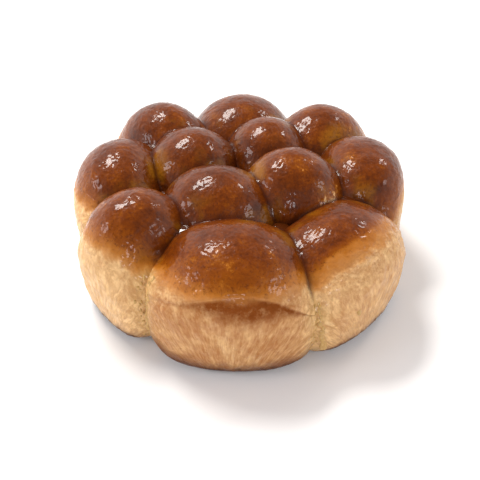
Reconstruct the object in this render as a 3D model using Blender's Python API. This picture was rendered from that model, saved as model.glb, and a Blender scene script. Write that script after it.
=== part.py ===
"""A round honey challah of the pull-apart kind: twelve balls of dough that baked together in a round pan.

Eight balls stand in a ring against the pan's wall and four fill the middle. Each ball has a domed crown, a
side that the pan or its neighbours pressed upright, and a rounded lower edge. The balls are joined into one
closed loaf round a heart of dough with a flat underside. Metres, +Z up. The origin is on the surface that the loaf stands on, under the
middle of its width and depth.
"""

from collections import namedtuple
from math import asin, atan2, cos, exp, pi, radians, sin

import bmesh
import bpy
from mathutils import Vector, noise

LOAF_NAME = "challah"

# Heights above the surface
SHOULDER_HEIGHT = 0.045  # where a ball's side ends and its crown begins
EDGE_RADIUS = 0.007  # rounding of a ball's lower edge
BALL_LIFT = 0.0012  # a ball's underside above the heart's

# The loaf's heart, where the dough ran together between the balls, as (radius, height) from the underside up
HEART_PROFILE = (
    (0.1050, 0.0000),
    (0.1080, 0.0040),
    (0.1090, 0.0100),
    (0.1090, 0.0300),
    (0.1075, 0.0410),
    (0.1025, 0.0510),
    (0.0970, 0.0550),
)
HEART_SEGMENTS = 48

# How a ball's outline changes from a pressed, squarish one below to a round one at the crown
SQUARE_POWER = 5.5
ROUND_POWER = 2.1
SQUARE_UNTIL = 0.015
ROUND_FROM = 0.068
SIDE_TUCK = 0.46  # how far the side draws in at the bottom, as the sine of an arc
SIDE_TUCK_POWER = 2.5
RING_BEND = 0.65  # share of the pan's curve that a ring ball's sides follow

# Unevenness of the dough
LUMP_SIZE = 0.034
LUMP_HEIGHT = 0.0011

# The lap where the dough rose past the pan's rim and rolled over it
LAP_WIDTH = 0.0026
LAP_DEPTH = 0.0016
LAP_ROLL = 0.0011
LAP_ROLL_PLACE = 2.4  # of the roll's crest above the groove, in lap widths
LAP_ROLL_WIDTH = 1.8

# Mesh of one ball
RING_SEGMENTS = 30
RING_ROWS = 20
LAPPED_ROWS = 38
MIDDLE_SEGMENTS = 24
MIDDLE_ROWS = 16
SIDE_SHARE = 0.62  # of the lower half's rows, the share on the upright side
EDGE_SHARE = 0.86  # and the share by which the lower edge is turned

# Seams that the union leaves
WELD_DISTANCE = 0.00012
SLIVER_LENGTH = 0.00005
SHARP_ANGLE = 40

# turn is the place round the loaf in degrees, from the front and anticlockwise seen from above, and reach the
# distance of the ball's middle from the loaf's. half_width lies along the ring and half_depth across it.
# crown_power is 2 for a round crown and more for a boxy one. lap is the height of the rim's lap in the middle
# of the outer face, then for the left and for the right side how far it drops and the power of that fall.
Ball = namedtuple(
    "Ball", "name turn reach half_width half_depth crown ring crown_power lap", defaults=(True, 2.0, None)
)

DOUGH_BALLS = (
    Ball("front", -3.2, 0.0855, 0.0440, 0.0370, 0.0775, lap=(0.0638, 0.0175, 1.2, 0.0285, 2.4)),
    Ball("front_right", 43.5, 0.0880, 0.0420, 0.0330, 0.0725),
    Ball("right", 92.0, 0.0845, 0.0375, 0.0285, 0.0800, crown_power=2.7),
    Ball("back_right", 132.2, 0.0830, 0.0354, 0.0393, 0.0821),
    Ball("back", 179.0, 0.0816, 0.0409, 0.0405, 0.0778),
    Ball("back_left", -134.7, 0.0832, 0.0340, 0.0388, 0.0827),
    Ball("left", -90.0, 0.0840, 0.0410, 0.0310, 0.0815),
    Ball("front_left", -47.0, 0.0855, 0.0305, 0.0345, 0.0845),
    Ball("middle_back_left", -116.8, 0.0385, 0.0351, 0.0352, 0.0835, ring=False),
    Ball("middle_back_right", 149.6, 0.0390, 0.0320, 0.0344, 0.0835, ring=False),
    Ball("middle_front_left", -24.5, 0.0366, 0.0390, 0.0348, 0.0835, ring=False),
    Ball("middle_front_right", 64.7, 0.0373, 0.0370, 0.0326, 0.0865, ring=False),
)


def clear_scene():
    for old in list(bpy.data.objects):
        bpy.data.objects.remove(old, do_unlink=True)


def smooth_step(start, end, value):
    share = min(max((value - start) / (end - start), 0.0), 1.0)
    return share * share * (3 - 2 * share)


def outline_power(height):
    """The exponent of a ball's plan outline: squarish low down, round at the crown."""
    return SQUARE_POWER + (ROUND_POWER - SQUARE_POWER) * smooth_step(SQUARE_UNTIL, ROUND_FROM, height)


def side_fullness(ball, height):
    """How full the upright side is at this height, against 1 at the shoulder."""
    tuck = SIDE_TUCK * ((SHOULDER_HEIGHT - height) / SHOULDER_HEIGHT) ** SIDE_TUCK_POWER
    return (1 - tuck**ball.crown_power) ** (1 / ball.crown_power)


def profile(ball, latitude):
    """(height, fullness, inset in metres) of a ball at a sphere's latitude, from underside to crown."""
    if latitude >= 0:
        bulge = 2 / ball.crown_power
        rise = (ball.crown - SHOULDER_HEIGHT) * sin(latitude) ** bulge
        return SHOULDER_HEIGHT + rise, max(cos(latitude), 0.0) ** bulge, 0.0
    way_down = -latitude / (pi / 2)
    edge_top = BALL_LIFT + EDGE_RADIUS
    if way_down <= SIDE_SHARE:
        height = SHOULDER_HEIGHT + (edge_top - SHOULDER_HEIGHT) * way_down / SIDE_SHARE
        return height, side_fullness(ball, height), 0.0
    fullness = side_fullness(ball, edge_top)
    if way_down <= EDGE_SHARE:
        turn = (way_down - SIDE_SHARE) / (EDGE_SHARE - SIDE_SHARE) * pi / 2
        return edge_top - EDGE_RADIUS * sin(turn), fullness, EDGE_RADIUS * (1 - cos(turn))
    left = (1 - way_down) / (1 - EDGE_SHARE)
    return BALL_LIFT, fullness * left, EDGE_RADIUS * left


def lap_offset(ball, across, height):
    """How far the rim's lap pushes an outer face out, at this place across the ball."""
    if ball.lap is None:
        return 0.0
    middle, left_fall, left_power, right_fall, right_power = ball.lap
    share = across / ball.half_width
    if share > 0:
        line = middle - right_fall * share**right_power
    else:
        line = middle - left_fall * (-share) ** left_power
    above = (height - line) / LAP_WIDTH
    groove = -LAP_DEPTH * exp(-above * above)
    roll = LAP_ROLL * exp(-(((above - LAP_ROLL_PLACE) / LAP_ROLL_WIDTH) ** 2))
    return groove + roll


def ball_point(ball, direction):
    """Where a unit sphere's point goes on the ball."""
    latitude = asin(max(-1.0, min(1.0, direction.z)))
    around = atan2(direction.y, direction.x)
    height, fullness, inset = profile(ball, latitude)
    power = outline_power(height)
    norm = (abs(cos(around)) ** power + abs(sin(around)) ** power) ** (1 / power)
    across = (ball.half_width * fullness - inset) * cos(around) / norm
    outward = (ball.half_depth * fullness - inset) * sin(around) / norm
    turn = radians(ball.turn)
    if ball.ring:
        facing_out = smooth_step(0.2, 0.8, sin(around)) * smooth_step(0.0, 0.5, fullness)
        outward += facing_out * lap_offset(ball, across, height)
        distance = ball.reach + outward
        angle = turn + across / (ball.reach * (1 - RING_BEND) + distance * RING_BEND)
        return Vector((distance * sin(angle), -distance * cos(angle), height))
    return Vector((ball.reach * sin(turn) + across, -ball.reach * cos(turn) - outward, height))


def lump(point):
    """The dough's slow unevenness at a point, faded out towards the bottom to keep the underside level."""
    fade = smooth_step(EDGE_RADIUS / 2, EDGE_RADIUS * 3, point.z)
    return LUMP_HEIGHT * fade * noise.noise(point / LUMP_SIZE)


def add_mesh_object(name, mesh_data, collection, material):
    mesh = bpy.data.meshes.new(name)
    mesh_data.to_mesh(mesh)
    mesh_data.free()
    mesh.materials.append(material)
    made = bpy.data.objects.new(name, mesh)
    collection.objects.link(made)
    return made


def add_ball(ball, collection, material):
    """A sphere drawn out into one dough ball."""
    mesh_data = bmesh.new()
    segments = RING_SEGMENTS if ball.ring else MIDDLE_SEGMENTS
    rows = RING_ROWS if ball.ring else MIDDLE_ROWS
    if ball.lap is not None:
        rows = LAPPED_ROWS
    bmesh.ops.create_uvsphere(mesh_data, u_segments=segments, v_segments=rows, radius=1.0)
    turn = radians(ball.turn)
    heart = Vector((ball.reach * sin(turn), -ball.reach * cos(turn), SHOULDER_HEIGHT / 2))
    for vertex in mesh_data.verts:
        point = ball_point(ball, vertex.co.normalized())
        outwards = (point - heart).normalized()
        vertex.co = point + outwards * lump(point)
    bmesh.ops.recalc_face_normals(mesh_data, faces=mesh_data.faces)
    return add_mesh_object("ball_" + ball.name, mesh_data, collection, material)


def add_heart(material):
    """The dough between the balls: a low round shape that becomes the loaf."""
    mesh_data = bmesh.new()
    rings = []
    for radius, height in HEART_PROFILE:
        turns = [2 * pi * step / HEART_SEGMENTS for step in range(HEART_SEGMENTS)]
        rings.append([mesh_data.verts.new((radius * cos(turn), radius * sin(turn), height)) for turn in turns])
    for lower, upper in zip(rings, rings[1:]):
        for step in range(HEART_SEGMENTS):
            after = (step + 1) % HEART_SEGMENTS
            mesh_data.faces.new((lower[step], lower[after], upper[after], upper[step]))
    mesh_data.faces.new(rings[0][::-1])
    mesh_data.faces.new(rings[-1])
    bmesh.ops.recalc_face_normals(mesh_data, faces=mesh_data.faces)
    return add_mesh_object(LOAF_NAME, mesh_data, bpy.data.collections[LOAF_NAME], material)


def join_balls(heart, balls):
    """One Boolean union of the heart and every ball, applied, after which the balls are removed."""
    union = heart.modifiers.new("rise_together", "BOOLEAN")
    union.operation = "UNION"
    union.operand_type = "COLLECTION"
    union.collection = balls
    union.solver = "EXACT"
    bpy.context.view_layer.update()
    graph = bpy.context.evaluated_depsgraph_get()
    joined = bpy.data.meshes.new_from_object(heart.evaluated_get(graph))
    heart.modifiers.clear()
    heart.data = joined
    for ball in list(balls.objects):
        bpy.data.objects.remove(ball, do_unlink=True)
    bpy.data.collections.remove(balls)


def tidy_mesh(loaf):
    """Closes up the slivers that the union leaves along the seams, and makes the faces triangles."""
    mesh_data = bmesh.new()
    mesh_data.from_mesh(loaf.data)
    bmesh.ops.remove_doubles(mesh_data, verts=mesh_data.verts, dist=WELD_DISTANCE)
    bmesh.ops.dissolve_degenerate(mesh_data, edges=mesh_data.edges, dist=SLIVER_LENGTH)
    bmesh.ops.triangulate(mesh_data, faces=mesh_data.faces)
    mesh_data.to_mesh(loaf.data)
    mesh_data.free()
    loaf.data.shade_smooth()
    loaf.data.set_sharp_from_angle(angle=radians(SHARP_ANGLE))


def centre_on_origin(loaf):
    """Moves the loaf so that the origin is under the middle of its width and depth."""
    for axis in (0, 1):
        places = [vertex.co[axis] for vertex in loaf.data.vertices]
        middle = (min(places) + max(places)) / 2
        for vertex in loaf.data.vertices:
            vertex.co[axis] -= middle


def crust_material():
    """Baked crust: a glossy brown that a Principled BSDF carries in one colour."""
    material = bpy.data.materials.new("crust")
    material.use_nodes = True
    shader = material.node_tree.nodes["Principled BSDF"]
    shader.inputs["Base Color"].default_value = (0.42, 0.17, 0.04, 1.0)
    shader.inputs["Roughness"].default_value = 0.35
    shader.inputs["Metallic"].default_value = 0.0
    shader.inputs["Coat Weight"].default_value = 0.5
    return material


def main():
    clear_scene()
    loaf_parts = bpy.data.collections.new(LOAF_NAME)
    balls = bpy.data.collections.new("dough_balls")
    bpy.context.scene.collection.children.link(loaf_parts)
    bpy.context.scene.collection.children.link(balls)
    material = crust_material()
    for ball in DOUGH_BALLS:
        add_ball(ball, balls, material)
    heart = add_heart(material)
    join_balls(heart, balls)
    tidy_mesh(heart)
    centre_on_origin(heart)


main()
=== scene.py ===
from math import cos, pi, radians, sin

import bpy
import numpy as np
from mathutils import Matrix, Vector


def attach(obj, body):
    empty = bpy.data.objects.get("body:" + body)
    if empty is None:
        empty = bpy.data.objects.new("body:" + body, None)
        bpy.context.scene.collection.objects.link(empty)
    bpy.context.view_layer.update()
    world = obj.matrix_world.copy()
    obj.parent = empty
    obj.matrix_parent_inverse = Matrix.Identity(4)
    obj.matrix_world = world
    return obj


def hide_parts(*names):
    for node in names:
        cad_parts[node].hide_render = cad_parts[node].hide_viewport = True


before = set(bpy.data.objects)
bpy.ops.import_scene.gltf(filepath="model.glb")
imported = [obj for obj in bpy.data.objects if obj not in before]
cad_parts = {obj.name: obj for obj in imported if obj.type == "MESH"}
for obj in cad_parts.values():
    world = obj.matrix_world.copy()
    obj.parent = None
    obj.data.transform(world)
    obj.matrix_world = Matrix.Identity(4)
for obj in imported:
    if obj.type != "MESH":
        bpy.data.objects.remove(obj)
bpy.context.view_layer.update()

# A round honey challah: twelve dough balls that baked together, glazed with honey.
# Metres, +Z up, front towards -Y.


class Wire:
    # One output of a node tree, so that node maths reads as a formula
    def __init__(self, tree, socket):
        self.tree = tree
        self.socket = socket

    def math(self, operation, *others, clamp=False):
        node = self.tree.nodes.new("ShaderNodeMath")
        node.operation = operation
        node.use_clamp = clamp
        for slot, given in zip(node.inputs, (self, *others)):
            plug(self.tree, given, slot)
        return Wire(self.tree, node.outputs[0])

    def vector(self, operation, other=None):
        node = self.tree.nodes.new("ShaderNodeVectorMath")
        node.operation = operation
        plug(self.tree, self, node.inputs[0])
        plug(self.tree, other, node.inputs["Scale"] if operation == "SCALE" else node.inputs[1])
        number = operation in ("DOT_PRODUCT", "LENGTH", "DISTANCE")
        return Wire(self.tree, node.outputs["Value" if number else "Vector"])

    def __add__(self, other):
        return self.math("ADD", other)

    def __sub__(self, other):
        return self.math("SUBTRACT", other)

    def __rsub__(self, other):
        return self * -1.0 + other

    def __mul__(self, other):
        return self.math("MULTIPLY", other)

    def __truediv__(self, other):
        return self.math("DIVIDE", other)

    def __rtruediv__(self, other):
        return self ** -1.0 * other

    def __pow__(self, other):
        return self.math("POWER", other)

    def parts(self):
        node = self.tree.nodes.new("ShaderNodeSeparateXYZ")
        plug(self.tree, self, node.inputs[0])
        return [Wire(self.tree, out) for out in node.outputs]

    def ease(self, low, high, start=0.0, end=1.0):
        # start below low, end above high, and a smooth change between
        node = self.tree.nodes.new("ShaderNodeMapRange")
        node.interpolation_type = "SMOOTHSTEP"
        for slot, given in zip(node.inputs, (self, low, high, start, end)):
            plug(self.tree, given, slot)
        return Wire(self.tree, node.outputs[0])

    def clamped(self):
        return self.math("ADD", 0.0, clamp=True)

    def bell(self):
        # 1 at 0, falling to nothing by about 2 either way
        return (self * self * -1.0).math("EXPONENT")


def plug(tree, given, slot):
    if isinstance(given, Wire):
        tree.links.new(given.socket, slot)
    elif given is not None:
        slot.default_value = given


def make(tree, kind, settings=None, out=0, **inputs):
    # A node of this kind, its inputs given by name with underscores for spaces
    node = tree.nodes.new(kind)
    for key, setting in (settings or {}).items():
        setattr(node, key, setting)
    for name, given in inputs.items():
        plug(tree, given, node.inputs[name.replace("_", " ")])
    return Wire(tree, node.outputs[out])


def joined(tree, x, y, z):
    return make(tree, "ShaderNodeCombineXYZ", X=x, Y=y, Z=z)


def noise(tree, place, size, detail=2.0, roughness=0.5, distortion=0.0, seed=0.0, strength=1.0):
    # Noise of this grain in metres, from about -strength to strength
    fac = make(tree, "ShaderNodeTexNoise", dict(noise_dimensions="4D"), Vector=place, W=seed, Scale=1 / size,
               Detail=detail, Roughness=roughness, Distortion=distortion)
    return (fac - 0.5) * (2.0 * strength)


def newTree(name, **inputs):
    # A Geometry Nodes tree with named inputs, each given as its default, or as its kind if it has none
    kinds = {int: "Int", float: "Float", tuple: "Vector"}
    tree = bpy.data.node_groups.new(name, "GeometryNodeTree")
    tree.interface.new_socket("Geometry", in_out="INPUT", socket_type="NodeSocketGeometry")
    tree.interface.new_socket("Geometry", in_out="OUTPUT", socket_type="NodeSocketGeometry")
    for label, default in inputs.items():
        kind = kinds.get(type(default), default)
        socket = tree.interface.new_socket(label, in_out="INPUT", socket_type="NodeSocket" + kind)
        if kind is not default:
            socket.default_value = default
    start = tree.nodes.new("NodeGroupInput")
    given = {out.name: Wire(tree, out) for out in start.outputs if out.name}
    return tree, given, tree.nodes.new("NodeGroupOutput").inputs[0]


def endTree(tree, geometry, material, finish):
    # The last steps of each tree, up to its output
    smooth = make(tree, "GeometryNodeSetShadeSmooth", Geometry=geometry)
    whole = make(tree, "GeometryNodeRealizeInstances", Geometry=smooth)
    dressed = make(tree, "GeometryNodeSetMaterial", Geometry=whole, Material=material)
    tree.links.new(dressed.socket, finish)


def store(tree, geometry, kind="FLOAT", **attributes):
    # The geometry with these named attributes on its points
    for name, given in attributes.items():
        geometry = make(tree, "GeometryNodeStoreNamedAttribute", dict(data_type=kind, domain="POINT"),
                        Geometry=geometry, Name=name, Value=given)
    return geometry


def stored(tree, name, kind="FLOAT"):
    return make(tree, "GeometryNodeInputNamedAttribute", dict(data_type=kind), Name=name)


def addNodes(piece, tree, values):
    # Puts the tree on the piece. An input that isn't among the values keeps its default.
    modifier = piece.modifiers.new(tree.name, "NODES")
    modifier.node_group = tree
    for item in tree.interface.items_tree:
        if item.in_out == "INPUT" and item.name in values:
            modifier[item.identifier] = values[item.name]


def applyNodes(piece):
    # The trees' result becomes the piece's own plain mesh
    bpy.context.view_layer.update()
    graph = bpy.context.evaluated_depsgraph_get()
    mesh = bpy.data.meshes.new_from_object(
        piece.evaluated_get(graph), preserve_all_data_layers=True, depsgraph=graph)
    mesh.name = piece.name
    piece.modifiers.clear()
    piece.data = mesh


def newPiece(name):
    piece = bpy.data.objects.new(name, bpy.data.meshes.new(name))
    bpy.context.scene.collection.objects.link(piece)
    return piece


loafRule = {
    "shoulder": 0.045,        # height where a ball's pressed side ends and its crown begins
    "edgeRadius": 0.007,      # rounding of a ball's lower edge
    "lift": 0.0012,           # a ball's underside above the table
    "squarePower": 5.5,       # plan outline low down, squarish
    "roundPower": 2.1,        # plan outline at the crown, round
    "squareUntil": 0.015,
    "roundFrom": 0.068,
    "sideTuck": 0.46,         # how far the side draws in towards the table
    "sideTuckPower": 2.5,
    "ringBend": 0.65,         # share of the pan's curve that a ring ball follows
    "sideShare": 0.62,        # share of a sphere's lower half that its side takes up
    "edgeShare": 0.86,        # and its side and lower edge together
    "middleShift": (0.0009, 0.00005, 0.0),  # from the balls' common centre to the loaf's own middle
    "lumpSize": 0.034,
    "lumpHeight": 0.0011,
    "lumpFade": (0.0035, 0.021),  # heights between which the lumps begin to show
}

# the lap where the dough rolled over the pan's rim
lapRule = {
    "powerLeft": 1.2,         # how its line falls towards a ball's two sides
    "powerRight": 2.4,
    "wave": dict(size=0.011, strength=0.0009),
    "width": 0.0019,
    "roll": 0.0006,           # how far the dough stands out above the line
    "depth": 0.0004,          # and is drawn in below it
    "step": (-0.5, 0.6),      # where it goes from one to the other, in widths above the line
    "rollMiddle": 0.5,        # these four in widths too
    "rollReach": 3.4,
    "creaseMiddle": -0.1,
    "creaseReach": 1.6,
    "faceFade": (0.2, 0.8),   # it is on a ball's outer face alone
    "bottomFade": (0.0, 0.5),
}

# turn in degrees and reach place a ball round the loaf, and ring is 0 for the balls in the middle. grid sets
# how fine its mesh is. edge is the height where the glaze stops on its outer face, and edgeDrop how far that
# edge falls at its two sides. lap is the height of the rolled lap, and lapLeft and lapRight how far it falls.
# bake is how high the dark baked edge reaches, and seam the height below which the seam at that side is
# filled. stain browns the dough under the lap, toast a ball's side and tone its crown, and paler lightens the
# crown near paleAt.
ballShapes = {
    "ballFront": dict(turn=-3.2, reach=0.0855, halfWidth=0.0440, halfDepth=0.0370, crown=0.0775, grid=112,
                      edge=0.0608, edgeDrop=0.006, lap=0.0638, lapLeft=0.0175, lapRight=0.0285,
                      bakeLeft=0.026, bakeMiddle=0.015, bakeRight=0.020, seamLeft=0.062, seamRight=0.046,
                      stain=1.0, toast=1.30, tone=-0.03),
    "ballFrontRight": dict(turn=43.5, reach=0.0880, halfWidth=0.0420, halfDepth=0.0330, crown=0.0725,
                           grid=104, edge=0.0670, edgeDrop=0.019, seamLeft=0.046, toast=0.70),
    "ballRight": dict(turn=92.0, reach=0.0845, halfWidth=0.0375, halfDepth=0.0285, crown=0.0800, grid=88,
                      crownPower=2.7, edgeDrop=0.019),
    "ballBackRight": dict(turn=132.2, reach=0.0830, halfWidth=0.0354, halfDepth=0.0393, crown=0.0821, grid=88,
                          edge=0.0610, edgeDrop=0.014, tone=-0.08),
    "ballBack": dict(turn=179.0, reach=0.0816, halfWidth=0.0409, halfDepth=0.0405, crown=0.0778, grid=88,
                     edgeDrop=0.012),
    "ballBackLeft": dict(turn=-134.7, reach=0.0832, halfWidth=0.0340, halfDepth=0.0388, crown=0.0827, grid=88,
                         edge=0.0620, edgeDrop=0.014, tone=0.08),
    "ballLeft": dict(turn=-90.0, reach=0.0840, halfWidth=0.0410, halfDepth=0.0310, crown=0.0815, grid=92,
                     edgeDrop=0.004, toast=0.0),
    "ballFrontLeft": dict(turn=-47.0, reach=0.0855, halfWidth=0.0305, halfDepth=0.0345, crown=0.0845,
                          grid=100, edge=0.0680, edgeDrop=0.018, seamRight=0.062, toast=0.15),
    "ballMiddleBackLeft": dict(turn=-116.8, reach=0.0385, halfWidth=0.0351, halfDepth=0.0352, crown=0.0835,
                               ring=0.0, grid=84, tone=0.08),
    "ballMiddleBackRight": dict(turn=149.6, reach=0.0390, halfWidth=0.0320, halfDepth=0.0344, crown=0.0835,
                                ring=0.0, grid=80, tone=0.08),
    "ballMiddleFrontLeft": dict(turn=-24.5, reach=0.0366, halfWidth=0.0390, halfDepth=0.0348, crown=0.0835,
                                ring=0.0, grid=88, tone=0.06),
    "ballMiddleFrontRight": dict(turn=64.7, reach=0.0373, halfWidth=0.0370, halfDepth=0.0326, crown=0.0865,
                                 ring=0.0, grid=88, paleAt=(0.058, -0.037, 0.067), paler=0.34),
}
roughGrid = 44                # of the plain balls that the finished ones grow against

# what a ball has where ballShapes doesn't say
plainBall = dict(halfWidth=0.040, halfDepth=0.035, ring=1.0, lap=0.0, lapLeft=0.0, lapRight=0.0, seed=0.0)
plainSkin = dict(edge=0.060, edgeDrop=0.0, bakeLeft=0.014, bakeMiddle=0.011, bakeRight=0.014, seamLeft=0.056,
                 seamRight=0.056, stain=0.0, toast=0.5, tone=0.0, paleAt=(0.0, 0.0, 0.0), paler=0.0)


def lapLine(tree, given, across):
    # The height of the rim's lap at this place across a ball
    share = across / given["halfWidth"]
    right = share.math("MAXIMUM", 0.0) ** lapRule["powerRight"] * given["lapRight"]
    left = (share * -1.0).math("MAXIMUM", 0.0) ** lapRule["powerLeft"] * given["lapLeft"]
    return given["lap"] - right - left + noise(tree, joined(tree, across, 0.0, 0.0), **lapRule["wave"])


def doughBallTree():
    # One ball: a sphere drawn out by the loaf's rule. Each point keeps its place on the ball as "dough".
    rule = loafRule
    tree, given, finish = newTree("doughBall", grid=80, turn=0.0, reach=0.08, crown=0.08, crownPower=2.0,
                                  lumpHeight=rule["lumpHeight"], crust="Material", **plainBall)
    grid = given["grid"]
    cube = make(tree, "GeometryNodeMeshCube", Size=(2.0, 2.0, 2.0),
                Vertices_X=grid, Vertices_Y=grid, Vertices_Z=grid)
    place = make(tree, "GeometryNodeInputPosition")
    x, y, z = place.vector("SCALE", pi / 4).vector("TANGENT").vector("NORMALIZE").parts()
    power = given["crownPower"]
    shoulder = rule["shoulder"]
    up = z.math("MAXIMUM", 0.0)
    rise = (given["crown"] - shoulder) * up ** (2.0 / power)
    crownFullness = (1.0 - up * up).math("MAXIMUM", 0.0) ** (1.0 / power)
    down = z.math("MINIMUM", 0.0).math("ARCSINE") * (-2 / pi)
    sideShare = rule["sideShare"]
    edgeShare = rule["edgeShare"]
    sideWay = (down / sideShare).clamped()
    edgeTurn = ((down - sideShare) / (edgeShare - sideShare)).clamped() * (pi / 2)
    underWay = ((1.0 - down) / (1 - edgeShare)).clamped()
    sideHeight = sideWay * (rule["lift"] + rule["edgeRadius"] - shoulder) + shoulder
    height = sideHeight + rise - edgeTurn.math("SINE") * rule["edgeRadius"]
    tuck = (1.0 - sideHeight / shoulder).clamped() ** rule["sideTuckPower"] * rule["sideTuck"]
    fullness = crownFullness * (1.0 - tuck ** power) ** (1.0 / power) * underWay
    inset = (1.0 - edgeTurn.math("COSINE")) * underWay * rule["edgeRadius"]
    square = height.ease(rule["squareUntil"], rule["roundFrom"], rule["squarePower"], rule["roundPower"])
    length = (x * x + y * y).math("SQRT").math("MAXIMUM", 1e-6)
    side = x / length
    out = y / length
    norm = (side.math("ABSOLUTE") ** square + out.math("ABSOLUTE") ** square) ** (1.0 / square)
    across = (given["halfWidth"] * fullness - inset) * side / norm
    outward = (given["halfDepth"] * fullness - inset) * out / norm

    above = (height - lapLine(tree, given, across)) / lapRule["width"]
    step = above.ease(*lapRule["step"])
    roll = ((above - lapRule["rollMiddle"]) / lapRule["rollReach"]).bell() * lapRule["roll"]
    crease = ((above - lapRule["creaseMiddle"]) / lapRule["creaseReach"]).bell() * lapRule["depth"]
    facing = out.ease(*lapRule["faceFade"]) * fullness.ease(*lapRule["bottomFade"]) * given["ring"]
    lapped = facing * given["lap"].math("GREATER_THAN", 0.0)
    outward = outward + lapped * (step * roll - (1.0 - step) * crease)

    # round the loaf with the ring, or straight for the middle balls
    turn = given["turn"]
    reach = given["reach"]
    inRing = given["ring"]
    bend = rule["ringBend"]
    distance = reach + outward
    angle = turn + across / (reach * (1 - bend) + distance * bend)
    middleX = reach * turn.math("SINE")
    middleY = reach * turn.math("COSINE") * -1.0
    placeX = inRing * distance * angle.math("SINE") + (1.0 - inRing) * (middleX + across)
    placeY = (1.0 - inRing) * (middleY - outward) - inRing * distance * angle.math("COSINE")
    shaped = joined(tree, placeX, placeY, height)
    outwards = shaped.vector("SUBTRACT", joined(tree, middleX, middleY, shoulder / 2)).vector("NORMALIZE")
    lump = noise(tree, shaped, rule["lumpSize"], detail=1.0, seed=given["seed"]) * given["lumpHeight"]
    moved = shaped.vector("ADD", outwards.vector("SCALE", lump * height.ease(*rule["lumpFade"])))
    named = store(tree, cube, "FLOAT_VECTOR", dough=joined(tree, across, outward, height))
    ball = make(tree, "GeometryNodeSetPosition", Geometry=named,
                Position=moved.vector("ADD", rule["middleShift"]))
    endTree(tree, make(tree, "GeometryNodeFlipFaces", Mesh=ball), given["crust"], finish)
    return tree


# how the grain of a ball's side fans out upwards from a place below it, the way the dough stretched
fanning = {
    "below": 0.030,           # that place, under the table
    "evenAt": 0.032,          # height where the grain has its own size
    "length": 0.16,           # its share of a height, so that it is drawn out upwards
}


def fannedPlace(tree, dough):
    across, outward, height = dough.parts()
    spread = (fanning["below"] + fanning["evenAt"]) / (height + fanning["below"])
    return joined(tree, across * spread, outward, height * fanning["length"])


crustRelief = {
    "blend": 0.0030,          # how far dough fills in beside a seam between crowns
    "sideBlend": 0.0260,      # and between the pressed sides
    "wrinkleHeight": 0.00048,
    "rippleHeight": 0.00042,
    "fibreHeight": 0.00080,
    "knobHeight": 0.00095,
    "pitDepth": 0.00060,
}
reliefGrains = {
    "wrinkle": dict(size=0.0046, detail=3.0, roughness=0.55, distortion=1.0),
    "ripple": dict(size=0.0110, distortion=0.5),
    "fibre": dict(size=0.0028, detail=3.0, roughness=0.6, distortion=0.6),
    "knob": dict(size=0.0085),
    "pitField": dict(size=0.02, detail=1.0),
}

# a pair is a stretch over which something goes from nothing to all, and four numbers are such a stretch and
# what it starts and ends with
skinRule = {
    "leftToRight": (-0.6, 0.6),         # between the seams' heights, in shares of a ball's half width
    "outerFace": (0.0, 0.5),            # of a ring ball, in shares of its half depth
    "seamTop": (-0.010, 0.008, 1.0, 0.0),  # about the height up to which a seam is filled
    "fromTable": (0.0, 0.010),          # keeps the underside level
    "deepest": 1.5,                     # of a groove, where 1 is right at the neighbour
    "glazeFace": (-0.15, 0.45),         # where the glaze stops at its edge, in shares of the half depth
    "innerRise": 0.05,                  # how far above the glaze's edge a ball's inner faces count as
    "bakeLeftToRight": (-0.9, 0.9),
    "toastFade": (0.002, 0.020),        # from the seam
    "toneFade": (0.0, 0.008),
    "paleReach": 0.013,
    "glazeFade": (-0.003, 0.004),       # about the glaze's edge
    "pitSpacing": 0.0065,
    "pitWall": (0.05, 0.26, 1.0, 0.0),
    "pitFields": (0.0, 0.3),
    "reliefFade": (0.0015, 0.009),      # from the table
    "lowest": 0.0004,
}
rimStain = {
    "middle": 0.16,                     # across, in shares of the ball's half width
    "reach": 0.42,
    "depth": 0.0175,                    # below the lap in the middle
    "leastDepth": 0.0012,
    "wave": dict(size=0.008, detail=3.0, roughness=0.6, strength=0.35),
    "top": (-0.0004, 0.0020),
    "fade": (0.0, 1.3, 1.15, 0.0),
    "leftFade": (-0.80, -0.05, 0.25, 1.0),
    "rightFade": (0.86, 0.95, 1.0, 0.0),
}


def lapStain(tree, given, side, across, height):
    # How much the dough right under the lap is browned
    rule = rimStain
    below = lapLine(tree, given, across) - height
    depth = ((side - rule["middle"]) / rule["reach"]).bell() * rule["depth"] + rule["leastDepth"]
    depth = depth * (noise(tree, joined(tree, across, 0.0, height), **rule["wave"]) + 1.0)
    stain = below.ease(*rule["top"]) * (below / depth).ease(*rule["fade"]) * given["stain"]
    return stain * side.ease(*rule["leftFade"]) * side.ease(*rule["rightFade"])


def skinRelief(tree, given, place, aboveEdge, height):
    # How far the skin stands out, with wrinkled glaze above and torn, stretched dough at the sides
    def grain(name, where=place):
        return noise(tree, where, seed=given["seed"], **reliefGrains[name])

    fanned = fannedPlace(tree, stored(tree, "dough", "FLOAT_VECTOR"))
    glazed = aboveEdge.ease(*skinRule["glazeFade"])
    crown = grain("wrinkle") * given["wrinkleHeight"] + grain("ripple") * given["rippleHeight"]
    flank = grain("fibre", fanned) * given["fibreHeight"] + grain("knob") * given["knobHeight"]
    spots = make(tree, "ShaderNodeTexVoronoi", Vector=place, Scale=1 / skinRule["pitSpacing"])
    fields = grain("pitField").ease(*skinRule["pitFields"])
    pit = spots.ease(*skinRule["pitWall"]) * fields * given["pitDepth"]
    return (glazed * crown + (1.0 - glazed) * (flank - pit)) * height.ease(*skinRule["reliefFade"])


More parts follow.
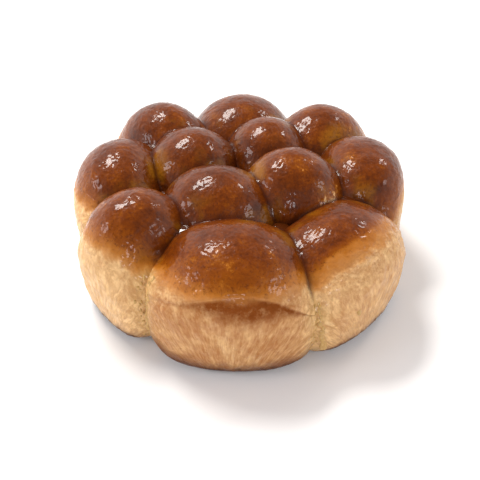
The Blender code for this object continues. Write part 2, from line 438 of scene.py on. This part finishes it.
def crustTree():
    # The balls' skins where they grew together
    tree, given, finish = newTree("crust", neighbours="Object", crust="Material", **plainBall, **plainSkin,
                                  **crustRelief)
    place = make(tree, "GeometryNodeInputPosition")
    normal = make(tree, "GeometryNodeInputNormal")
    others = make(tree, "GeometryNodeObjectInfo", out="Geometry", Object=given["neighbours"])
    nearest = make(tree, "GeometryNodeProximity", dict(target_element="FACES"), out="Position",
                   Geometry=others)
    nearNormal = make(tree, "GeometryNodeSampleNearestSurface", dict(data_type="FLOAT_VECTOR"),
                      Mesh=others, Value=normal, Sample_Position=place)
    apart = place.vector("SUBTRACT", nearest)
    seam = apart.vector("LENGTH") * apart.vector("DOT_PRODUCT", nearNormal).math("SIGN")
    across, outward, height = stored(tree, "dough", "FLOAT_VECTOR").parts()
    side = across / given["halfWidth"]
    out = outward / given["halfDepth"]
    x, y, z = place.parts()
    toRight = side.ease(*skinRule["leftToRight"])
    filled = given["seamLeft"] * (1.0 - toRight) + given["seamRight"] * toRight
    outer = out.ease(*skinRule["outerFace"]) * given["ring"]
    openSeam = 1.0 - outer * (z - filled).ease(*skinRule["seamTop"])
    blend = given["blend"] * openSeam + given["sideBlend"] * (1.0 - openSeam)
    groove = ((blend - seam) / blend).math("MAXIMUM", 0.0).math("MINIMUM", skinRule["deepest"])
    swelling = groove * groove * blend / 4.0 * z.ease(*skinRule["fromTable"])
    grown = make(tree, "GeometryNodeSetPosition", Geometry=store(tree, given["Geometry"], seam=seam),
                 Offset=normal.vector("SCALE", swelling))

    glazeFace = out.ease(*skinRule["glazeFace"]) * given["ring"]
    drop = given["edgeDrop"] * side.math("ABSOLUTE") ** 3.0
    aboveEdge = height - given["edge"] + drop + (1.0 - glazeFace) * skinRule["innerRise"]
    toRight = side.ease(*skinRule["bakeLeftToRight"])
    atSide = given["bakeLeft"] * (1.0 - toRight) + given["bakeRight"] * toRight
    baked = given["bakeMiddle"] + (atSide - given["bakeMiddle"]) * side * side
    paler = (place.vector("DISTANCE", given["paleAt"]) / skinRule["paleReach"]).bell() * given["paler"]
    named = store(tree, grown, aboveEdge=aboveEdge, groove=groove, openSeam=openSeam,
                  aboveBake=height - baked, toast=seam.ease(*skinRule["toastFade"]) * given["toast"],
                  tone=seam.ease(*skinRule["toneFade"]) * given["tone"] - paler,
                  stain=lapStain(tree, given, side, across, height) * glazeFace)
    relief = skinRelief(tree, given, place, aboveEdge, height)
    textured = make(tree, "GeometryNodeSetPosition", Geometry=named, Offset=normal.vector("SCALE", relief))
    rested = make(tree, "GeometryNodeSetPosition", Geometry=textured,
                  Position=joined(tree, x, y, z.math("MAXIMUM", skinRule["lowest"])))
    endTree(tree, rested, given["crust"], finish)
    return tree


def newMaterial(name):
    material = bpy.data.materials.new(name)
    material.use_nodes = True
    return material, material.node_tree, material.node_tree.nodes["Principled BSDF"]


def blendColours(tree, share, first, second):
    node = tree.nodes.new("ShaderNodeMix")
    node.data_type = "RGBA"
    plug(tree, share, node.inputs[0])
    plug(tree, first, node.inputs[6])
    plug(tree, (*second, 1.0), node.inputs[7])
    return Wire(tree, node.outputs[2])


def colourRamp(tree, share, stops):
    node = tree.nodes.new("ShaderNodeValToRGB")
    elements = node.color_ramp.elements
    while len(elements) < len(stops):
        elements.new(0.5)
    for element, (position, colour) in zip(elements, stops):
        element.position = position
        element.color = (*colour, 1.0)
    plug(tree, share, node.inputs[0])
    return Wire(tree, node.outputs[0])


def attribute(tree, name, out="Fac"):
    return make(tree, "ShaderNodeAttribute", dict(attribute_name=name), out=out)


crustColours = {
    "cream": (0.86, 0.560, 0.265),      # these six from the pale side to the darkest crown
    "straw": (0.62, 0.290, 0.085),
    "gold": (0.44, 0.150, 0.016),
    "amber": (0.230, 0.056, 0.0024),
    "russet": (0.160, 0.033, 0.0022),
    "chestnut": (0.074, 0.0145, 0.0024),
    "olive": (0.29, 0.108, 0.006),      # on flanks in the shade
    "tan": (0.43, 0.180, 0.058),        # clouds on the pale sides
    # painted shade in the creases of the pale sides' crumples
    "crease": (0.38, 0.150, 0.036),
    "crumb": (0.88, 0.660, 0.390),
    "sienna": (0.215, 0.052, 0.005),    # stains under the lap
    "bakedEdge": (0.16, 0.046, 0.011),
    "charred": (0.062, 0.018, 0.006),
    "honeyed": (0.56, 0.33, 0.095),     # where honey soaked in beside a seam
    "wetSeamShade": (0.055, 0.009, 0.002),       # painted shade in the seams between the crowns, with the honey's own dark
}
browning = {
    "start": -0.0045,                   # metres above the glaze's edge
    "span": 0.040,
    "even": 0.60,                       # the darkest that it gets without its patches
    "patchFade": (0.15, 0.6),
    "flankLength": 0.32,                # draws the fine patches out down the flanks
    "stops": ((0.00, "cream"), (0.06, "straw"), (0.12, "gold"), (0.25, "amber"), (0.52, "russet"),
              (1.00, "chestnut")),
}
crustGrains = {
    "edgeWave": dict(size=0.010, detail=3.0, roughness=0.6, strength=0.0030),
    "edgeFringe": dict(size=0.0040, detail=3.0, roughness=0.6, strength=0.0024),
    "patch": dict(size=0.015, detail=3.0, roughness=0.55, strength=0.70),
    "smallPatch": dict(size=0.0045, detail=3.0, roughness=0.6, strength=0.30),
    "finePatch": dict(size=0.0020, detail=4.0, roughness=0.7, distortion=0.5, seed=3.0, strength=0.58),
    "shade": dict(size=0.020),
    "streak": dict(size=0.0015, detail=4.0, roughness=0.7, distortion=0.7),
    "stretch": dict(size=0.0026, detail=4.0, roughness=0.7, distortion=0.6, strength=0.85),
    "fineStretch": dict(size=0.0010, detail=3.0, roughness=0.6, strength=0.51),
    "cloud": dict(size=0.014, detail=3.0, roughness=0.6),
    "crumple": dict(size=0.0056, detail=3.0, roughness=0.55, distortion=0.8),
    "spot": dict(size=0.0060, detail=4.0, roughness=0.7, distortion=0.5),
    "fleck": dict(size=0.0050, detail=4.0, roughness=0.65),
    "bakeWave": dict(size=0.006, detail=4.0, roughness=0.65, strength=0.007),
    "charWave": dict(size=0.0036, detail=4.0, roughness=0.7, strength=0.0055),
    "soak": dict(size=0.006, detail=3.0, roughness=0.6),
    "fine": dict(size=0.0015, detail=3.0, roughness=0.65, distortion=0.5),
    "wrinkle": dict(size=0.0034, detail=3.0, roughness=0.6, distortion=1.8),
    "fibre": dict(size=0.0014, detail=4.0, roughness=0.7, distortion=0.8),
    "gloss": dict(size=0.007),
}

# where each finish fades in or out: from, to, and what it starts and ends with where that isn't 0 and 1
crustFades = {
    "glazed": (-0.0015, 0.0035),        # metres above the glaze's edge
    "shaded": (0.003, 0.018, 1.0, 0.0),  # metres from a seam
    "shade": (-0.05, 0.35, 0.0, 0.9),
    "streak": (0.0, 0.40, 0.0, 0.75),
    "wetSeamShade": (0.0, 0.0036, 0.85, 0.0),    # metres from a seam, for the painted seam shade
    "cloud": (-0.45, 0.25, 0.21, 0.60),
    "crumpled": (0.0, 0.7, 0.30, 0.60),  # how deep in a seam's groove
    "crease": (0.0, 0.26, 1.0, 0.0),
    "crumb": (0.15, 0.60),
    "spot": (0.22, 0.5, 0.0, 0.45),
    "fleck": (-0.45, 0.30, 0.62, 1.30),
    "baked": (-0.009, 0.004, 0.85, 0.0),  # metres above the baked edge's height
    "charred": (0.0050, 0.0105, 0.92, 0.0),  # metres above the table
    "soaked": (0.35, 0.80),             # how deep in a seam's groove
    "soak": (-0.4, 0.3, 0.3, 1.0),
    "gloss": (-0.5, 0.5),
}
leastCloud = 0.10                       # of tan on the pale sides
crumpleFlatten = (1.0, 1.0, 2.4)        # turns the fanned grain's long stretches into flatter folds
soakedTint = 0.5

# how strongly each grain is felt on the glazed and on the pale skin, in units of the bump's depth
crustBump = dict(depth=0.00013, glazedWrinkle=1.45, glazedFine=0.2, fibre=2.4, fine=1.0, crumple=3.0,
                 soaked=2.0)

# roughness and coat of the two skins, then what a glossy patch and soaked honey add to them
crustGloss = dict(glazed=0.26, glazedPatch=0.12, pale=0.50, palePatch=-0.12, paleSoaked=-0.2)
crustCoat = dict(glazed=0.68, glazedPatch=-0.14, pale=0.1, palePatch=0.5, paleSoaked=0.55, roughness=0.10,
                 ior=1.32, specular=0.06)


def crustMaterial():
    colours = crustColours
    fades = crustFades
    material, tree, shader = newMaterial("honeyCrust")
    place = make(tree, "ShaderNodeTexCoord", out="Object")
    dough = attribute(tree, "dough", "Vector")
    across, outward, height = dough.parts()
    flank = joined(tree, across, outward, height * browning["flankLength"])
    stretched = fannedPlace(tree, dough)
    seam = attribute(tree, "seam")
    groove = attribute(tree, "groove")
    stain = attribute(tree, "stain")

    def grain(name, where=place):
        return noise(tree, where, **crustGrains[name])

    # how brown the skin is, from pale pressed dough to the darkest crown
    aboveEdge = attribute(tree, "aboveEdge") + grain("edgeWave") + grain("edgeFringe", stretched)
    patches = grain("patch") + grain("smallPatch") + grain("finePatch", flank)
    brown = (aboveEdge - browning["start"]) / browning["span"]
    patched = patches * brown.ease(*browning["patchFade"])
    brown = brown.math("MINIMUM", browning["even"]) + attribute(tree, "tone") + patched
    skin = colourRamp(tree, brown.clamped(), [(share, colours[name]) for share, name in browning["stops"]])
    glazed = aboveEdge.ease(*fades["glazed"])
    pale = 1.0 - glazed

    # amber to olive flanks where the balls shaded each other, and fine dark streaks in the skin
    shaded = seam.ease(*fades["shaded"]) * glazed * grain("shade").ease(*fades["shade"])
    skin = blendColours(tree, shaded, skin, colours["olive"])
    streaks = grain("streak", flank).ease(*fades["streak"]) * glazed
    skin = blendColours(tree, streaks, skin, colours["chestnut"])

    # tan cloudings and soft crumples on the pale sides, with painted shade in the crumples' creases
    clouds = grain("cloud").ease(*fades["cloud"]) * attribute(tree, "toast")
    clouded = (grain("stretch", stretched) + grain("fineStretch", stretched) + clouds + leastCloud).clamped()
    skin = blendColours(tree, clouded * pale, skin, colours["tan"])
    crumple = grain("crumple", stretched.vector("MULTIPLY", crumpleFlatten))
    crumpled = groove.ease(*fades["crumpled"]) * pale
    # painted shade: the crumples' creases darkened
    creaseShade = crumple.math("ABSOLUTE").ease(*fades["crease"]) * crumpled
    skin = blendColours(tree, creaseShade, skin, colours["crease"])
    skin = blendColours(tree, crumple.ease(*fades["crumb"]) * crumpled, skin, colours["crumb"])

    # brown stains, the dark lower edge, the honey beside the seams, and painted shade with honey darkening
    # the seams
    stained = (stain * grain("fleck").ease(*fades["fleck"]) + grain("spot").ease(*fades["spot"])).clamped()
    skin = blendColours(tree, stained * pale, skin, colours["sienna"])
    baked = (attribute(tree, "aboveBake") + grain("bakeWave")).ease(*fades["baked"])
    skin = blendColours(tree, baked, skin, colours["bakedEdge"])
    skin = blendColours(tree, (height + grain("charWave")).ease(*fades["charred"]), skin, colours["charred"])
    soaked = groove.ease(*fades["soaked"]) * pale * grain("soak").ease(*fades["soak"])
    skin = blendColours(tree, soaked * soakedTint, skin, colours["honeyed"])
    # painted shade: the open seams and the heart's pits darkened nearly to black, partly the honey in them
    skin = blendColours(tree, seam.ease(*fades["wetSeamShade"]) * attribute(tree, "openSeam"), skin, colours["wetSeamShade"])
    plug(tree, skin, shader.inputs["Base Color"])

    bump = crustBump
    fine = grain("fine")
    wrinkle = grain("wrinkle")
    glazedRelief = wrinkle * bump["glazedWrinkle"] + fine * bump["glazedFine"]
    paleRelief = grain("fibre", stretched) * bump["fibre"] + fine * bump["fine"] + crumple * bump["crumple"]
    paleRelief = paleRelief + soaked * wrinkle * bump["soaked"]
    relief = glazed * glazedRelief + pale * paleRelief
    bumped = make(tree, "ShaderNodeBump", Strength=1.0, Distance=bump["depth"], Height=relief)
    plug(tree, bumped, shader.inputs["Normal"])

    patchy = grain("gloss").ease(*fades["gloss"])
    gloss = crustGloss
    paleGloss = patchy * gloss["palePatch"] + soaked * gloss["paleSoaked"] + gloss["pale"]
    roughness = glazed * (patchy * gloss["glazedPatch"] + gloss["glazed"]) + pale * paleGloss
    plug(tree, roughness, shader.inputs["Roughness"])
    coat = crustCoat
    paleCoat = (patchy * coat["palePatch"] + coat["pale"]) * (1.0 - stain) + soaked * coat["paleSoaked"]
    coated = glazed * (patchy * coat["glazedPatch"] + coat["glazed"]) + pale * paleCoat
    plug(tree, coated, shader.inputs["Coat Weight"])
    shader.inputs["Coat Roughness"].default_value = coat["roughness"]
    shader.inputs["Coat IOR"].default_value = coat["ior"]
    shader.inputs["Specular IOR Level"].default_value = coat["specular"]
    return material


def risenBall(name, tree, number, **changed):
    # One ball as it rose, before it met its neighbours
    ball = newPiece(name)
    shape = {**ballShapes[name], **changed}
    addNodes(ball, tree, {**shape, "turn": radians(shape["turn"]), "seed": float(number)})
    applyNodes(ball)
    return ball


def makeBalls(material):
    shapeTree = doughBallTree()
    skinTree = crustTree()
    risen = {}
    for number, name in enumerate(ballShapes):
        rough = risenBall(name, shapeTree, number, crust=material, grid=roughGrid)
        risen[name] = rough.data
        bpy.data.objects.remove(rough)
    print("balls shaped:", len(risen))
    balls = []
    for number, (name, shape) in enumerate(ballShapes.items()):
        ball = risenBall(name, shapeTree, number, crust=material)
        neighbours = newPiece("neighbours")
        neighbours.data = joinedMesh([mesh for other, mesh in risen.items() if other != name])
        addNodes(ball, skinTree, {
            **shape, "neighbours": neighbours, "seed": float(number), "crust": material})
        applyNodes(ball)
        bpy.data.objects.remove(neighbours)
        balls.append(ball)
    print("balls grown together")
    return balls


def joinedMesh(meshes):
    # Several meshes as one
    places = []
    faces = []
    offset = 0
    for mesh in meshes:
        points = np.empty(len(mesh.vertices) * 3, np.float32)
        mesh.vertices.foreach_get("co", points)
        corners = np.empty(len(mesh.loops), np.int32)
        mesh.loops.foreach_get("vertex_index", corners)
        places.append(points.reshape(-1, 3))
        faces.append(corners.reshape(-1, 4) + offset)
        offset += len(mesh.vertices)
    whole = bpy.data.meshes.new("joined")
    whole.from_pydata(np.concatenate(places).tolist(), [], np.concatenate(faces).tolist())
    return whole


heartShape = {
    "radius": 0.1090,
    "profile": (              # radius and height, from the underside's edge up to the top's
        (0.1050, 0.0), (0.1080, 0.0040), (0.1090, 0.0100), (0.1090, 0.0300), (0.1075, 0.0410),
        (0.1025, 0.0510), (0.0970, 0.0550)),
    "segments": 180,
    "rings": 24,
    "wetShadeFade": (0.042, 0.052),  # heights between which the pits' honey and their painted shade begin
    "seamDepth": 0.006,
    "bakedUntil": 0.006,
    "paleEdge": -0.03,        # how far from the glaze's edge its side and its top count as
    "glazedEdge": 0.02,
}


def makeHeart(material):
    # The dough in the middle where the balls ran together, with the loaf's level baked underside
    shape = heartShape
    tree, given, finish = newTree("heart", radius=shape["radius"], segments=shape["segments"],
                                  rings=shape["rings"], crust="Material")
    disc = make(tree, "GeometryNodeMeshCylinder", dict(fill_type="TRIANGLE_FAN"), Vertices=given["segments"],
                Side_Segments=given["rings"], Fill_Segments=given["rings"], Radius=1.0, Depth=1.0)
    x, y, z = make(tree, "GeometryNodeInputPosition").parts()
    top = shape["profile"][-1][1]
    curve = tree.nodes.new("ShaderNodeFloatCurve")
    points = curve.mapping.curves[0].points
    while len(points) < len(shape["profile"]):
        points.new(0.5, 0.5)
    for point, (radius, height) in zip(points, shape["profile"]):
        point.location = (height / top, radius / shape["radius"])
        point.handle_type = "VECTOR"
    curve.mapping.update()
    plug(tree, z + 0.5, curve.inputs["Value"])
    draw = Wire(tree, curve.outputs[0]) * given["radius"]
    moved = joined(tree, x * draw, y * draw, (z + 0.5) * top)
    shaped = make(tree, "GeometryNodeSetPosition", Geometry=disc, Position=moved)
    # the top in the pits takes the honey, the glaze and the painted seam shade
    wetShadedTop = z.ease(*shape["wetShadeFade"])
    named = store(tree, shaped, groove=0.0, stain=0.0, toast=0.0, tone=0.0, openSeam=wetShadedTop,
                  seam=(1.0 - wetShadedTop) * shape["seamDepth"], aboveBake=z - shape["bakedUntil"],
                  aboveEdge=wetShadedTop * (shape["glazedEdge"] - shape["paleEdge"]) + shape["paleEdge"])
    named = store(tree, named, "FLOAT_VECTOR", dough=joined(tree, x, y, z))
    endTree(tree, named, given["crust"], finish)
    heart = newPiece("doughHeart")
    addNodes(heart, tree, {"crust": material})
    applyNodes(heart)
    print("heart made")
    return heart


honeyLook = {
    "shadedPooled": (0.085, 0.018, 0.003),  # colours of the honey in the pits, darkened there as painted shade as well as by its depth, and at the front seams
    "golden": (0.58, 0.35, 0.115),
    "clear": 0.10,
    "roughness": 0.04,
    "ior": 1.42,
    "poolRise": 0.0014,       # of a pool's level above the bottom of its valley
    "poolSpan": 0.0068,
    "poolDepth": 0.0016,
    "dropSegments": 28,
    "dropRings": 20,
    "uneven": dict(size=0.004, detail=1.0, strength=0.0004),
    "dropTilt": 0.50,         # in radians, a drop's lower end away from the dough
    "dropGap": 0.0034,        # down a seam from one drop to the next
    "dropStray": 0.5,         # degrees to either side
    "dropWidths": (0.7, 1.2),  # least and most, in shares of the run's own
    "dropHeights": (0.9, 1.5),  # in shares of its width
    "leastHeight": 0.0019,
    "dropThickness": 0.45,    # share of its width
}

# honey that ran down the two front seams: where each run starts and ends round the loaf in degrees and up it
# in metres, then half the width of its drops at the start and at the end
honeyRuns = (
    dict(turns=(-26.2, -28.8), heights=(0.0560, 0.0120), widths=(0.0007, 0.0011)),
    dict(turns=(22.4, 23.6), heights=(0.0450, 0.0130), widths=(0.0009, 0.0021)),
    dict(turns=(24.6, 24.2), heights=(0.0180, 0.0130), widths=(0.0014, 0.0022)),
    dict(turns=(33.6, 33.8), heights=(0.0345, 0.0315), widths=(0.0014, 0.0010)),
)
valleySearch = {
    "cell": 0.0024,
    "cells": 39,              # from the middle to each side of the grid
    "above": 0.2,             # the height that it looks down from
    "within": 0.080,          # of the loaf's middle
    "highest": 0.074,         # of a valley's bottom
    "around": 3,              # cells to each side that aren't lower
}
runSearchFrom = 0.16          # distance from the loaf's middle at which the search for its skin starts


def honeyMaterial(name, colour):
    material, tree, shader = newMaterial(name)
    shader.inputs["Base Color"].default_value = (*colour, 1.0)
    shader.inputs["Roughness"].default_value = honeyLook["roughness"]
    shader.inputs["IOR"].default_value = honeyLook["ior"]
    shader.inputs["Transmission Weight"].default_value = honeyLook["clear"]
    return material


def valleyPlaces(pieces):
    # The lowest places between the crowns, found by looking straight down over a grid
    cell = valleySearch["cell"]
    cells = valleySearch["cells"]
    around = valleySearch["around"]

    def spotAt(column, row, height):
        return Vector(((column - cells + 0.5) * cell, (row - cells + 0.5) * cell, height))

    heights = np.ones((2 * cells, 2 * cells))
    for column in range(2 * cells):
        for row in range(2 * cells):
            spot = spotAt(column, row, valleySearch["above"])
            if spot.xy.length < valleySearch["within"]:
                looks = [piece.ray_cast(spot, (0.0, 0.0, -1.0)) for piece in pieces]
                heights[column, row] = max([look[1].z for look in looks if look[0]], default=1.0)

    # a little of the neighbouring heights decides between cells that are level with each other
    nearby = [np.roll(heights, shift, side) for shift in (-2, -1, 1, 2) for side in (0, 1)]
    level = heights + sum(nearby) / 100
    found = []
    for column in range(around, 2 * cells - around):
        for row in range(around, 2 * cells - around):
            height = heights[column, row]
            patch = level[column - around:column + around + 1, row - around:row + around + 1]
            if height < valleySearch["highest"] and level[column, row] <= patch.min():
                found.append(spotAt(column, row, height))
    return found


def honeyRunDrops(balls):
    # The places of the drops on the loaf's outer skin, and their sizes
    look = honeyLook
    chance = np.random.default_rng(5)
    places = []
    sizes = []
    for run in honeyRuns:
        top, bottom = run["heights"]
        for share in np.arange(0.0, 1.0, look["dropGap"] / (top - bottom)):
            degrees = float(np.interp(share, (0, 1), run["turns"]))
            turn = radians(degrees + chance.uniform(-look["dropStray"], look["dropStray"]))
            way = Vector((sin(turn), -cos(turn), 0.0))
            start = way * runSearchFrom + Vector((0.0, 0.0, top + (bottom - top) * share))
            looks = [ball.ray_cast(start, way * -1.0) for ball in balls]
            reached = [place for hit, place, normal, face in looks if hit]
            places.append(min(reached, key=lambda place: (place - start).length))
            width = float(np.interp(share, (0, 1), run["widths"])) * chance.uniform(*look["dropWidths"])
            height = max(width * chance.uniform(*look["dropHeights"]), look["leastHeight"])
            sizes.append((width, width * look["dropThickness"], height))
    return places, sizes


def makeHoneyDrops(name, places, sizes, material, tilt=0.0):
    # Rounded drops of honey at these places, turned to face outwards from the loaf
    tree, given, finish = newTree("honeyDrops", honey="Material", segments=honeyLook["dropSegments"],
                                  rings=honeyLook["dropRings"])
    drop = make(tree, "GeometryNodeMeshUVSphere", Segments=given["segments"], Rings=given["rings"],
                Radius=1.0)
    placed = make(tree, "GeometryNodeInstanceOnPoints", Points=given["Geometry"], Instance=drop,
                  Rotation=stored(tree, "facing", "FLOAT_VECTOR"), Scale=stored(tree, "size", "FLOAT_VECTOR"))
    whole = make(tree, "GeometryNodeRealizeInstances", Geometry=placed)
    uneven = noise(tree, make(tree, "GeometryNodeInputPosition"), **honeyLook["uneven"])
    away = make(tree, "GeometryNodeInputNormal").vector("SCALE", uneven)
    softened = make(tree, "GeometryNodeSetPosition", Geometry=whole, Offset=away)
    endTree(tree, softened, given["honey"], finish)
    drops = newPiece(name)
    drops.data.from_pydata([tuple(place) for place in places], [], [])
    facing = drops.data.attributes.new("facing", "FLOAT_VECTOR", "POINT")
    size = drops.data.attributes.new("size", "FLOAT_VECTOR", "POINT")
    for number, (place, sides) in enumerate(zip(places, sizes)):
        turn = Vector((place[0], place[1])).angle_signed(Vector((0.0, -1.0)))
        facing.data[number].vector = (-tilt, 0.0, turn)
        size.data[number].vector = sides
    addNodes(drops, tree, {"honey": material})
    applyNodes(drops)
    return drops


honeyBeads = {
    "size": 0.0010,
    "spacing": 0.0019,
    "seed": 4,
    "density": 160000.0,      # tries per square metre
    "least": (0.4, 0.5, 0.35),  # shares of the size
    "most": (1.0, 1.7, 0.7),
    "grooveFade": (0.60, 0.84),
    "tableFade": (0.010, 0.013),
    "tops": (-0.01, 0.01, 0.058, 0.047),  # from left to right, and the heights that the beads reach there
    "topFade": (-0.004, 0.0, 1.0, 0.0),
    "frontFade": (-0.096, -0.082, 1.0, 0.0),
}


def makeHoneyBeads(balls, material):
    # Small beads of honey caught in the front seams
    look = honeyBeads
    tree, given, finish = newTree("honeyBeads", ballFrontLeft="Object", ballFront="Object",
                                  ballFrontRight="Object", size=look["size"], spacing=look["spacing"],
                                  seed=look["seed"], honey="Material")
    join = tree.nodes.new("GeometryNodeJoinGeometry")
    for name in ("ballFrontLeft", "ballFront", "ballFrontRight"):
        part = make(tree, "GeometryNodeObjectInfo", out="Geometry", Object=given[name])
        tree.links.new(part.socket, join.inputs[0])
    x, y, z = make(tree, "GeometryNodeInputPosition").parts()
    chance = stored(tree, "groove").ease(*look["grooveFade"]) * stored(tree, "seam").math("GREATER_THAN", 0.0)
    chance = chance * z.ease(*look["tableFade"]) * (z - x.ease(*look["tops"])).ease(*look["topFade"])
    chance = chance * y.ease(*look["frontFade"])
    scatter = tree.nodes.new("GeometryNodeDistributePointsOnFaces")
    scatter.distribute_method = "POISSON"
    tree.links.new(join.outputs[0], scatter.inputs["Mesh"])
    plug(tree, given["spacing"], scatter.inputs["Distance Min"])
    plug(tree, look["density"], scatter.inputs["Density Max"])
    plug(tree, chance, scatter.inputs["Density Factor"])
    plug(tree, given["seed"], scatter.inputs["Seed"])
    bead = make(tree, "GeometryNodeMeshIcoSphere", Radius=1.0, Subdivisions=2)
    spread = tree.nodes.new("FunctionNodeRandomValue")
    spread.data_type = "FLOAT_VECTOR"
    plug(tree, look["least"], spread.inputs[0])
    plug(tree, look["most"], spread.inputs[1])
    size = Wire(tree, spread.outputs[0]).vector("SCALE", given["size"])
    placed = make(tree, "GeometryNodeInstanceOnPoints", Points=Wire(tree, scatter.outputs["Points"]),
                  Instance=bead, Rotation=Wire(tree, scatter.outputs["Rotation"]), Scale=size)
    endTree(tree, placed, given["honey"], finish)
    beads = newPiece("honeyBeads")
    addNodes(beads, tree, {**{ball.name: ball for ball in balls}, "honey": material})
    applyNodes(beads)
    return beads


def makeHoney(balls, heart):
    look = honeyLook
    # the pits' honey is darkened as painted shade, besides its own depth
    shadedPooled = honeyMaterial("pooledHoney", look["shadedPooled"])
    golden = honeyMaterial("goldenHoney", look["golden"])
    sunk = Vector((0.0, 0.0, look["poolRise"] - look["poolDepth"]))
    poolPlaces = [valley + sunk for valley in valleyPlaces(balls + [heart])]
    poolSizes = [(look["poolSpan"], look["poolSpan"], look["poolDepth"])] * len(poolPlaces)
    pools = makeHoneyDrops("honeyPools", poolPlaces, poolSizes, shadedPooled)
    drops = makeHoneyDrops("honeyDrops", *honeyRunDrops(balls), golden, look["dropTilt"])
    beads = makeHoneyBeads(balls, golden)
    print("honey added:", len(poolPlaces), "pools")
    return [pools, drops, beads]


studio = {
    "cameraPlace": (0.0005, -0.2724, 0.2393),
    "cameraDown": 41.26,      # degrees below the horizon
    "lens": 35.03,
    "nearest": 0.01,          # distance from which the camera sees
    "floorColour": (0.93, 0.93, 0.93),
    "floorRoughness": 0.7,
    "floorHalf": 3.0,
    "roomColour": (1.0, 0.99, 0.99),
    "horizon": 1.30,          # brightness of the room low down
    "overhead": 0.34,         # and above
    "fade": (0.30, 0.80),     # how far up it changes from one to the other, 1 being straight up
    "leftward": 0.10,         # how much brighter it is on the left
    "sideways": 0.55,         # and at both sides than in front
    "frontward": 0.50,        # how much darker it is in front
    "lampAim": 0.04,          # height over the loaf's middle that the lamps point at
}

# the azimuth is in degrees from straight behind the loaf, towards its right
lamps = {
    "keyLight": dict(azimuth=-40, elevation=58, away=1.2, size=(0.62, 0.26), power=14.0,
                     colour=(1.0, 0.97, 0.93)),
    "frontFill": dict(azimuth=178, elevation=17, away=1.4, size=(0.30, 0.30), power=3.2,
                      colour=(1.0, 0.93, 0.98)),
    "leftFill": dict(azimuth=-105, elevation=32, away=1.4, size=(0.40, 0.30), power=3.4,
                     colour=(1.0, 0.95, 0.98)),
    "rightFill": dict(azimuth=112, elevation=28, away=1.4, size=(0.40, 0.30), power=2.6,
                      colour=(1.0, 0.96, 0.98)),
    "rimLight": dict(azimuth=48, elevation=42, away=1.4, size=(0.26, 0.14), power=2.4,
                     colour=(1.0, 0.98, 0.96)),
}


def makeCamera():
    camera = bpy.data.cameras.new("photoView")
    camera.lens = studio["lens"]
    camera.clip_start = studio["nearest"]
    eye = bpy.data.objects.new("photoView", camera)
    eye.location = studio["cameraPlace"]
    eye.rotation_euler = (radians(90 - studio["cameraDown"]), 0.0, 0.0)
    bpy.context.scene.collection.objects.link(eye)
    bpy.context.scene.camera = eye
    bpy.context.scene.view_settings.view_transform = "Standard"


def makeRoom():
    world = bpy.data.worlds.new("paleRoom")
    world.use_nodes = True
    tree = world.node_tree
    x, y, z = make(tree, "ShaderNodeTexCoord", out="Generated").parts()
    glow = z.ease(*studio["fade"], studio["horizon"], studio["overhead"]) * (1.0 - x * studio["leftward"])
    glow = glow * (x.math("ABSOLUTE") * studio["sideways"] + (1.0 - studio["sideways"] * 0.5))
    glow = glow * (y.math("MINIMUM", 0.0) * studio["frontward"] + 1.0)
    background = tree.nodes["Background"]
    background.inputs["Color"].default_value = (*studio["roomColour"], 1.0)
    plug(tree, glow, background.inputs["Strength"])
    bpy.context.scene.world = world


def makeLamp(name, azimuth, elevation, away, size, power, colour):
    light = bpy.data.lights.new(name, "AREA")
    light.shape = "ELLIPSE"
    light.size = size[0]
    light.size_y = size[1]
    light.energy = power
    light.color = colour
    lamp = bpy.data.objects.new(name, light)
    turn = radians(azimuth)
    rise = radians(elevation)
    way = Vector((sin(turn) * cos(rise), cos(turn) * cos(rise), sin(rise)))
    lamp.location = way * away + Vector((0.0, 0.0, studio["lampAim"]))
    lamp.rotation_euler = way.to_track_quat("Z", "Y").to_euler()
    bpy.context.scene.collection.objects.link(lamp)


def makeFloor():
    floor = newPiece("paleFloor")
    half = studio["floorHalf"]
    corners = [(-half, -half, 0.0), (half, -half, 0.0), (half, half, 0.0), (-half, half, 0.0)]
    floor.data.from_pydata(corners, [], [(0, 1, 2, 3)])
    material, tree, shader = newMaterial("paleFloor")
    shader.inputs["Base Color"].default_value = (*studio["floorColour"], 1.0)
    shader.inputs["Roughness"].default_value = studio["floorRoughness"]
    floor.data.materials.append(material)


makeCamera()
makeRoom()
for name, lamp in lamps.items():
    makeLamp(name, **lamp)
makeFloor()
print("studio ready")

crust = crustMaterial()
balls = makeBalls(crust)
heart = makeHeart(crust)
pieces = balls + [heart] + makeHoney(balls, heart)
for piece in pieces:
    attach(piece, "root")
    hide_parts("challah")
